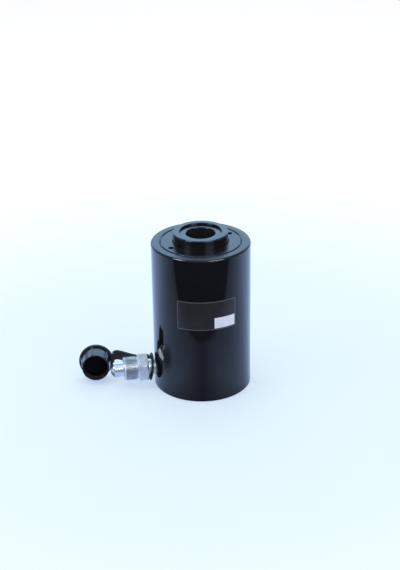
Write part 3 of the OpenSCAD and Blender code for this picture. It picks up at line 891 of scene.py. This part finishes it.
def coupler():
    core_r = THREAD_R - THREAD_DEPTH
    relief_r = THREAD_R - RELIEF_DEPTH
    bore_r = OIL_R + 0.5 * MM
    pocket_r = SHANK_R + THREAD_FIT
    thread_from = THREAD_S + RELIEF_DEPTH
    relief_rise = 0.4 * MM
    lead = 0.5 * MM
    piece = new_piece("coupler", turned([
        (bore_r, TAIL_S, 0),
        (PORT_R, TAIL_S, SOFT_EDGE),
        (PORT_R, NECK_S, 0),
        (NECK_R, NECK_S, FINE_EDGE),
        (NECK_R, HEX_S + SOFT_EDGE, 0),
        (relief_r, HEX_S + SOFT_EDGE, 0),
        (relief_r, thread_from - relief_rise, 0),
        (core_r, thread_from, 0),
        (core_r, NOSE_S - lead, 0),
        (core_r - lead, NOSE_S, FINE_EDGE),
        (pocket_r, NOSE_S, FINE_EDGE),
        (pocket_r, POCKET_S, 0),
        (bore_r, POCKET_S, 0),
    ], COUPLER_STEPS))
    combine(piece, hexagon(), "UNION")
    root_r = core_r - 0.2 * MM
    ridge = new_piece("ridge", thread_ridge(root_r, THREAD_R, thread_from, NOSE_S, THREAD_PITCH))
    inner_r = root_r - 0.1 * MM
    outer_r = THREAD_R + 0.02 * MM
    trim_from = thread_from + 0.03 * MM
    trim_to = NOSE_S - 0.55 * MM
    envelope = turned([
        (inner_r, trim_from, 0),
        (core_r, trim_from, 0),
        (outer_r, thread_from + THREAD_DEPTH, 0),
        (outer_r, NOSE_S - RELIEF_DEPTH, 0),
        (core_r, trim_to, 0),
        (inner_r, trim_to, 0),
    ], TRIM_STEPS)
    combine(ridge, new_piece("envelope", envelope), "INTERSECT")
    combine(piece, ridge, "UNION")
    heal(piece)
    piece.data.transform(COUPLER_FRAME)
    dress(shade(piece), "zinc_plate", "cylinder", "coupler_body")


def nose():
    groove_low = SHANK_S + 3.0 * MM
    groove_high = groove_low + 2.2 * MM
    groove_r = SHANK_R - 2.0 * MM
    seat_s = VALVE_S + VALVE_R - VALVE_HOLE_R
    bm = turned([
        (VALVE_R, SHANK_S, 0),
        (SHANK_R, SHANK_S, FINE_EDGE),
        (SHANK_R, groove_low, 0),
        (groove_r, groove_low, 0),
        (groove_r, groove_high, 0),
        (SHANK_R, groove_high, 0),
        (SHANK_R, NOSE_S, FINE_EDGE),
        (NOSE_R, NOSE_S, FINE_EDGE),
        (NOSE_R, TIP_S - TIP_LEN, SOFT_EDGE),
        (TIP_R, TIP_S, SOFT_EDGE),
        (VALVE_HOLE_R, TIP_S, FINE_EDGE),
        (VALVE_HOLE_R, seat_s, 0),
        (VALVE_R, VALVE_S, 0),
    ], COUPLER_STEPS)
    piece = new_piece("nose_tip", moved(bm, COUPLER_FRAME))
    dress(shade(piece), "polished_steel", "cylinder", "coupler_nose")


def cap_ribs():
    """Grip ribs of the cap, rounded and tapered towards its mouth."""
    end = CAP_LEN - 1.5 * MM
    length = end - RIB_S
    taper = (CAP_BASE_R - CAP_R) * length / (CAP_LEN - RIB_S)
    root_r = (CAP_BORE_R + CAP_R) / 2
    depth = CAP_BASE_R + RIB_H - root_r
    middle = Vector((root_r + depth / 2, 0, RIB_S + length / 2))
    bm = bmesh.new()
    bmesh.ops.create_cube(bm, size=1.0)
    bmesh.ops.scale(bm, vec=(depth, RIB_W, length), verts=bm.verts)
    bmesh.ops.translate(bm, vec=middle, verts=bm.verts)
    crest_front = [v for v in bm.verts if v.co.x > middle.x and v.co.z > middle.z]
    bmesh.ops.translate(bm, vec=(-taper - RIB_H / 2, 0, 0), verts=crest_front)
    clear_r = root_r + 0.1 * MM
    crest_edges = [e for e in bm.edges if all(v.co.x > clear_r for v in e.verts)]
    bevel(bm, crest_edges, SOFT_EDGE, segments=3)
    bmesh.ops.rotate(bm, cent=(0, 0, 0), matrix=Matrix.Rotation(RIB_TURN, 3, "Z"), verts=bm.verts)
    copies = CAP_RIBS - 1
    spin(bm, everything(bm), 2 * math.pi * copies / CAP_RIBS, copies, use_duplicate=True)
    close_up(bm)
    return bm


def dust_cap():
    piece = new_piece("dust_cap_shell", turned([
        (0, 0, 0),
        (CAP_LIP_R, 0, SOFT_EDGE),
        (CAP_LIP_R, CAP_LIP_T, FINE_EDGE / 2),
        (CAP_BASE_R, CAP_LIP_T, 0),
        (CAP_BASE_R, RIB_S, FINE_EDGE),
        (CAP_R, CAP_LEN, SOFT_EDGE),
        (CAP_BORE_R, CAP_LEN, SOFT_EDGE),
        (CAP_BORE_R, CAP_END, CAP_FILLET),
        (0, CAP_END, 0),
    ], CAP_STEPS, closed=False))
    combine(piece, new_piece("ribs", cap_ribs()), "UNION")
    root_r = CAP_BORE_R + 0.3 * MM
    crest_r = CAP_BORE_R - 0.7 * MM
    thread_from = CAP_LEN - 9.0 * MM
    thread_to = CAP_LEN - 2.0 * MM
    inner = thread_ridge(root_r, crest_r, thread_from, thread_to, CAP_PITCH)
    combine(piece, new_piece("inner_thread", inner), "UNION")
    over = 0.1 * MM
    inside = [
        face.index for face in piece.data.polygons
        if face.center.xy.length < CAP_BORE_R + over and face.center.z > CAP_END - over
    ]
    piece.data.transform(CAP_FRAME)
    dress(shade(piece), "cap_plastic", "dust_cap", "dust_cap")
    # The faces inside the cap get the darker plastic: painted shade in its hollow
    piece.data.materials.append(shaded_cap_inside())
    for i in inside:
        piece.data.polygons[i].material_index = 1


def strap_stations():
    """Frames along the strap: Y runs along it, X across its thickness, Z across its width."""
    loop_mid = LOOP_S + LOOP_W / 2
    away = Vector((math.sin(CAP_YAW), math.cos(CAP_YAW)))
    across = Vector((math.cos(CAP_YAW), -math.sin(CAP_YAW)))
    last = cap_back.xy - loop_mid * math.cos(CAP_TILT) * away + STRAP_HOLD * across
    first = Vector((-FLEX_S, STRAP_Y))
    bends = [first, first - Vector((STRAP_PULL, 0)), last + STRAP_BOW * away, last]
    in_ring = RING_HOLE_R + 1.5 * MM
    bend_from = STRAP_Y - BEND_R
    points = [Vector((-RING_S, in_ring)), Vector((-RING_S, bend_from))]
    bend_steps = 10
    for i in range(1, bend_steps + 1):
        turn = math.radians(90) * i / bend_steps
        points.append(Vector((
            -RING_S - BEND_R + BEND_R * math.cos(turn), bend_from + BEND_R * math.sin(turn),
        )))
    run_steps = 6
    start = points[-1].copy()
    points += [start.lerp(first, i / run_steps) for i in range(1, run_steps)]
    curve_steps = 48
    for i in range(curve_steps + 1):
        t = i / curve_steps
        weights = ((1 - t) ** 3, 3 * (1 - t) ** 2 * t, 3 * (1 - t) * t ** 2, t ** 3)
        points.append(sum((w * p for w, p in zip(weights, bends)), Vector((0, 0))))
    frames = []
    for i, point in enumerate(points):
        ahead = (points[min(i + 1, len(points) - 1)] - points[max(i - 1, 0)]).normalized()
        side = Vector((ahead.y, -ahead.x))
        frames.append(Matrix((
            (side.x, ahead.x, 0, point.x),
            (side.y, ahead.y, 0, point.y),
            (0, 0, 1, PORT_Z),
            (0, 0, 0, 1),
        )))
    return frames


def strap():
    frames = strap_stations()
    bm = bmesh.new()
    bmesh.ops.create_grid(bm, x_segments=1, y_segments=1, size=0.5)
    upright = Matrix.Rotation(math.radians(90), 4, "X") @ Matrix.Diagonal((STRAP_T, STRAP_W, 1, 1))
    moved(bm, frames[0] @ upright)
    bevel(bm, bm.verts[:], STRAP_ROUND, segments=3, affect="VERTICES")
    bmesh.ops.delete(bm, geom=bm.faces[:], context="FACES_ONLY")
    sweep(bm, frames)
    piece = new_piece("strap", bm)
    ring = turned([
        (RING_HOLE_R, -STRAP_T / 2, SOFT_EDGE),
        (RING_R, -RING_RIM_T / 2, RING_EDGE),
        (RING_R, RING_RIM_T / 2, RING_EDGE),
        (RING_HOLE_R, STRAP_T / 2, SOFT_EDGE),
    ], COUPLER_STEPS)
    tilted = Matrix.Translation((0, 0, RING_S)) @ Matrix.Rotation(RING_TILT, 4, "Y")
    combine(piece, new_piece("ring", moved(ring, COUPLER_FRAME @ tilted)), "UNION")
    loop = turned([
        (LOOP_HOLE_R, LOOP_S, FINE_EDGE),
        (LOOP_R, LOOP_S, SOFT_EDGE),
        (LOOP_R, LOOP_S + LOOP_W, SOFT_EDGE),
        (LOOP_HOLE_R, LOOP_S + LOOP_W, FINE_EDGE),
    ], CAP_STEPS)
    combine(piece, new_piece("loop", moved(loop, CAP_FRAME)), "UNION")
    dress(shade(piece, SOFT_ANGLE), "strap_rubber", None, "strap_ring_end", "strap_cap_end")
    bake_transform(piece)


def coil(mean_r, wire, turns, length):
    """Coil spring up from z = 0, with a closed turn and a flat ground end on both sides."""
    closed = 1.06 * wire
    ground = 0.3 * wire
    open_rise = (length - 2 * ground - 2 * closed) / (turns - 2)
    turn_steps = 40
    wire_steps = 14
    count = math.ceil(turns * turn_steps)
    frames = []
    for i in range(count + 1):
        turn = turns * i / count
        rise = ground + closed * min(turn, 1) + open_rise * min(max(turn - 1, 0), turns - 2)
        rise += closed * max(turn - turns + 1, 0)
        frames.append(
            Matrix.Translation((0, 0, rise))
            @ Matrix.Rotation(2 * math.pi * turn, 4, "Z")
            @ Matrix.Translation((mean_r, 0, 0))
            @ Matrix.Rotation(math.radians(90), 4, "X")
        )
    bm = bmesh.new()
    bmesh.ops.create_circle(bm, segments=wire_steps, radius=wire / 2)
    moved(bm, frames[0])
    sweep(bm, frames)
    for height, up in ((0, -1), (length, 1)):
        cut = bmesh.ops.bisect_plane(
            bm, geom=everything(bm), plane_co=(0, 0, height), plane_no=(0, 0, up), clear_outer=True,
        )["geom_cut"]
        bmesh.ops.holes_fill(bm, edges=only(bmesh.types.BMEdge, cut), sides=0)
    close_up(bm)
    return bm


def springs():
    """Return spring and check spring as coils of their length in the frame."""
    foot = low("return_spring").z
    length = high("return_spring").z - foot
    mean_r = high("return_spring").x - SPRING_WIRE / 2
    bm = moved(coil(mean_r, SPRING_WIRE, SPRING_TURNS, length), Matrix.Translation((0, 0, foot)))
    piece = shade(new_piece("return_coil", bm), SOFT_ANGLE)
    dress(piece, "spring_steel", "cylinder", "return_spring")
    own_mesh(piece)
    seat = -high("check_spring").x
    length = -low("check_spring").x - seat
    mean_r = high("check_spring").z - PORT_Z - CHECK_WIRE / 2
    bm = coil(mean_r, CHECK_WIRE, CHECK_TURNS, length)
    moved(bm, COUPLER_FRAME @ Matrix.Translation((0, 0, seat)))
    piece = shade(new_piece("check_coil", bm), SOFT_ANGLE)
    dress(piece, "spring_steel", "cylinder", "check_spring")
    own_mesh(piece)


def around(angle):
    """Direction out from the barrel's axis, by the label's angles."""
    return Vector((math.sin(angle), -math.cos(angle), 0))


def label():
    """Blank label: a dark plate with a thin border and one empty pale field."""
    radius = BARREL_R + 0.01 * MM
    bm = bmesh.new()
    foot = around(LABEL_FROM) * radius
    verts = [bm.verts.new((foot.x, foot.y, z)) for z in (LABEL_LOW, LABEL_HIGH)]
    edge = bm.edges.new(verts)
    spin(bm, [*verts, edge], LABEL_TO - LABEL_FROM, LABEL_STEPS)
    bmesh.ops.remove_doubles(bm, verts=bm.verts, dist=SAME_POINT)
    corners = [v for v in bm.verts if len(v.link_edges) == 2]
    bevel(bm, corners, LABEL_ROUND, segments=4, affect="VERTICES")
    inset = LABEL_BORDER / radius
    heights = [LABEL_LOW + LABEL_BORDER, LABEL_HIGH - LABEL_BORDER, FIELD_LOW, FIELD_HIGH]
    angles = [LABEL_FROM + inset, LABEL_TO - inset, FIELD_FROM, FIELD_TO]
    cuts = [((0, 0, z), (0, 0, 1)) for z in heights]
    cuts += [((0, 0, 0), around(angle + math.radians(90))) for angle in angles]
    for place, normal in cuts:
        bmesh.ops.bisect_plane(bm, geom=everything(bm), plane_co=place, plane_no=normal)
    for face in bm.faces:
        middle = face.calc_center_median()
        angle = math.atan2(middle.x, -middle.y)
        if FIELD_FROM < angle < FIELD_TO and FIELD_LOW < middle.z < FIELD_HIGH:
            face.material_index = 1
        elif not (angles[0] < angle < angles[1] and heights[0] < middle.z < heights[1]):
            face.material_index = 2
    bmesh.ops.recalc_face_normals(bm, faces=bm.faces)
    for face in bm.faces:
        middle = face.calc_center_median()
        if face.normal.dot(Vector((middle.x, middle.y, 0))) < 0:
            face.normal_flip()
    bmesh.ops.solidify(bm, geom=bm.faces[:], thickness=-LABEL_T)
    bmesh.ops.recalc_face_normals(bm, faces=bm.faces)
    piece = shade(new_piece("blank_label", bm))
    for paper in (
        label_paper("label_dark", (0.024, 0.024, 0.026), (0.05, 0.05, 0.055), 0.22),
        label_paper("label_field", (0.90, 0.90, 0.92), (0.75, 0.75, 0.77), 0.40),
        label_paper("label_edge", (0.11, 0.11, 0.12), (0.16, 0.16, 0.17), 0.34),
    ):
        piece.data.materials.append(paper)
    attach(piece, "cylinder")


barrel()
gland()
plunger()
saddle()
coupler()
nose()
dust_cap()
strap()
springs()
label()

# The pieces that stay as they were built get the finish of their slot
for part in frame["record"]["subparts"]:
    mesh = cad[part["node"]].data
    mesh.materials.clear()
    mesh.materials.append(FINISHES[part["material_slot"]])


# Studio: colours as the camera, the gloss of the object and its soft light see them

FLOOR_COLOR = (0.80, 0.95, 1.0)
# Painted light on the floor: the camera sees a darker paper under a fill glow that lightens its
# shadows, and the object's gloss a darker paper under a bluer glow
FLOOR_SEEN = (0.50, 0.58, 0.35)
FLOOR_GLOSS = (0.20, 0.24, 0.33)
FILL_NEAR = (0.40, 0.48, 0.70)
FILL_FAR = (0.62, 0.56, 0.72)
FLOOR_GLOW = (0.70, 0.98, 1.55)
SKY_COLOR = (1.0, 1.0, 1.0)
SKY_GLOSS = (0.28, 0.38, 0.50)
SKY_LIGHT = (0.82, 0.83, 1.0)
SKY_STRENGTH = 0.84
BACK_GLOSS = (0.44, 0.70, 1.0)
LAMP_GLOSS = (0.62, 0.76, 1.0)

# Ranges on the floor in metres: where its painted fill glow fades, where its painted glow in the gloss
# comes in past the painted shade in front and the painted shadows of the barrel and the cap, and the
# middle of the cap's painted shadow
FILL_FADE = (0.30, 0.75)
FRONT_SHADE_IN_SHINE = (-0.25, 0.10)
BODY_SHADOW_IN_SHINE = (0.0, 0.07)
CAP_SHADOW_IN_SHINE = (0.015, 0.045)
CAP_SHADOW_SPOT = (-0.135, -0.035, 0)
FLOOR_HALF = 6.0
PAPER_EDGE = -0.207
FLAG_DEPTH = 3.0
FLAG_HALF = 4.0
FLAG_RISE = 0.5 * MM

AIM_HEIGHT = 0.10
LAMP_DISTANCE = 1.6
PANEL_DISTANCE = 1.8

# Camera of the photograph, fitted to the rims and the coupler
CAMERA_TURN = math.radians(-10)
CAMERA_TILT = math.radians(90 - 26.088)
CAMERA_ROLL = math.radians(-0.854)
CAMERA_PLACE = Vector((-0.2396, -1.3426, 0.7606))
FOCAL_PIXELS = 1292.5
FRAME_WIDTH, FRAME_HEIGHT = 400, 570
CENTRE_X, CENTRE_Y = 199.2, 308.9


def studio_floor():
    """Pale paper that fades to white, with a painted fill glow that lightens its shadows to the eye and
    a bluer painted glow in the object's gloss, cut by painted shadows of the barrel and the cap.
    """
    bm = bmesh.new()
    bmesh.ops.create_grid(bm, x_segments=8, y_segments=8, size=FLOOR_HALF)
    floor = new_piece("studio_floor", bm)
    finish = Finish("studio_paper", FLOOR_COLOR, roughness=0.9)
    finish.turn_place((0, 0, 0), (0, 0, CAMERA_TURN))
    place = finish.place
    shader = finish.shader
    shader.inputs["Specular IOR Level"].default_value = 0.0
    shader.inputs["Emission Strength"].default_value = 1.0
    tree = finish.tree
    link = tree.links.new
    path = tree.nodes.new("ShaderNodeLightPath")
    seen = path.outputs["Is Camera Ray"]
    gloss = path.outputs["Is Glossy Ray"]
    color = mix_colors(tree, seen, FLOOR_COLOR, FLOOR_SEEN)
    link(mix_colors(tree, gloss, color, FLOOR_GLOSS), shader.inputs["Base Color"])
    back = along(tree, place, "Y")
    aside = math_node(tree, "ABSOLUTE", along(tree, place, "X"), 0.0)
    beside = math_node(tree, "MAXIMUM", aside, back)
    from_cap = measure(tree, "DISTANCE", place, CAP_SHADOW_SPOT)
    # Painted glow in the gloss, dimmed towards the front and cut in front of the barrel and round the
    # cap as painted shade and painted shadows
    shine = ramp(tree, back, *FRONT_SHADE_IN_SHINE)
    for mask in (ramp(tree, beside, *BODY_SHADOW_IN_SHINE), ramp(tree, from_cap, *CAP_SHADOW_IN_SHINE), gloss):
        shine = math_node(tree, "MULTIPLY", shine, mask)
    # Painted fill light: to the camera the paper glows, changing from its near to its far colour with
    # distance
    fade = ramp(tree, measure(tree, "LENGTH", place), *FILL_FADE)
    fill = mix_colors(tree, fade, FILL_NEAR, FILL_FAR)
    unseen = math_node(tree, "SUBTRACT", 1.0, seen)
    fill = mix_colors(tree, unseen, fill, (0, 0, 0))
    link(mix_colors(tree, shine, fill, FLOOR_GLOW), shader.inputs["Emission Color"])
    floor.data.materials.append(finish.material)


def plate(name, width, height, matrix, finish):
    """Flat stage piece that only the object's gloss shows."""
    bm = bmesh.new()
    bmesh.ops.create_grid(bm, x_segments=1, y_segments=1, size=0.5)
    bmesh.ops.scale(bm, vec=(width, height, 1), verts=bm.verts)
    piece = new_piece(name, moved(bm, matrix))
    piece.data.materials.append(finish.material)
    piece.visible_camera = False
    piece.visible_diffuse = False
    piece.visible_shadow = False
    piece.visible_transmission = False


def dark_flag():
    """Dark sheet in front of the paper's edge, seen only in the object's gloss: painted shade of the
    unlit room.
    """
    middle = Matrix.Translation((0, PAPER_EDGE - FLAG_DEPTH / 2, FLAG_RISE))
    turn = Matrix.Rotation(CAMERA_TURN, 4, "Z")
    room_shade = Finish("flag_shade", (0.004, 0.004, 0.005), roughness=0.95)
    plate("dark_flag", 2 * FLAG_HALF, FLAG_DEPTH, turn @ middle, room_shade)


def sky():
    world = bpy.data.worlds.new("studio_sky")
    bpy.context.scene.world = world
    world.use_nodes = True
    tree = world.node_tree
    path = tree.nodes.new("ShaderNodeLightPath")

    def background(color, strength):
        inputs = {"Color": (*color, 1.0), "Strength": strength}
        return add_node(tree, "Background", "Background", inputs)

    def choose(ray, otherwise, color):
        inputs = {"Fac": path.outputs[ray], 1: otherwise, 2: background(color, 1.0)}
        return add_node(tree, "MixShader", "Shader", inputs)

    shine = choose("Is Glossy Ray", background(SKY_LIGHT, SKY_STRENGTH), SKY_GLOSS)
    seen = choose("Is Camera Ray", shine, SKY_COLOR)
    tree.links.new(seen, tree.nodes["World Output"].inputs["Surface"])


def aimed(azimuth, elevation, distance):
    """Frame of a lamp or panel that looks at the middle of the object."""
    a, e = math.radians(azimuth), math.radians(elevation)
    away = Vector((math.sin(a) * math.cos(e), -math.cos(a) * math.cos(e), math.sin(e)))
    place = Vector((0, 0, AIM_HEIGHT)) + away * distance
    return Matrix.Translation(place) @ away.to_track_quat("Z", "Y").to_matrix().to_4x4()


def softbox(name, azimuth, elevation, size, power):
    """Square area lamp that lights the object without showing in its gloss."""
    lamp = bpy.data.lights.new(name, "AREA")
    lamp.shape = "SQUARE"
    lamp.size = size
    lamp.energy = power
    holder = bpy.data.objects.new(name, lamp)
    bpy.context.scene.collection.objects.link(holder)
    holder.matrix_world = aimed(azimuth, elevation, LAMP_DISTANCE)
    holder.visible_glossy = False


def glow_panel(name, color, azimuth, elevation, width, height, strength):
    """Bluish panel that shows in the object's gloss."""
    finish = Finish(name, (0, 0, 0), roughness=1.0)
    finish.shader.inputs["Emission Color"].default_value = (*color, 1.0)
    finish.shader.inputs["Emission Strength"].default_value = strength
    plate(name, width, height, aimed(azimuth, elevation, PANEL_DISTANCE), finish)


def camera():
    data = bpy.data.cameras.new("photo_camera")
    data.sensor_width = 36.0
    data.lens = FOCAL_PIXELS / FRAME_HEIGHT * data.sensor_width
    data.shift_x = (FRAME_WIDTH / 2 - CENTRE_X) / FRAME_HEIGHT
    data.shift_y = (CENTRE_Y - FRAME_HEIGHT / 2) / FRAME_HEIGHT
    data.clip_end = 50.0
    holder = bpy.data.objects.new("photo_camera", data)
    bpy.context.scene.collection.objects.link(holder)
    turn = Matrix.Rotation(CAMERA_TURN, 4, "Z")
    tilt = Matrix.Rotation(CAMERA_TILT, 4, "X")
    roll = Matrix.Rotation(CAMERA_ROLL, 4, "Z")
    holder.matrix_world = Matrix.Translation(CAMERA_PLACE) @ turn @ tilt @ roll
    bpy.context.scene.camera = holder


studio_floor()
dark_flag()
sky()
# Name, azimuth and elevation in degrees, size in metres, power in watts
softbox("softbox_left", -80, 46, 0.7, 1.5)
softbox("softbox_right", 40, 50, 0.7, 1.5)
softbox("softbox_back", 170, 55, 1.2, 3.5)
# Name, colour, azimuth and elevation in degrees, width and height in metres, strength
glow_panel("panel_back", BACK_GLOSS, 170, 30, 3.0, 1.2, 2.6)
glow_panel("panel_left", LAMP_GLOSS, -68, 42, 0.6, 0.8, 16.0)
glow_panel("panel_right", LAMP_GLOSS, 28, 38, 0.95, 0.85, 10.0)
glow_panel("panel_top", LAMP_GLOSS, 0, 84, 1.5, 1.5, 1.2)
camera()
bpy.context.scene.view_settings.view_transform = "Standard"
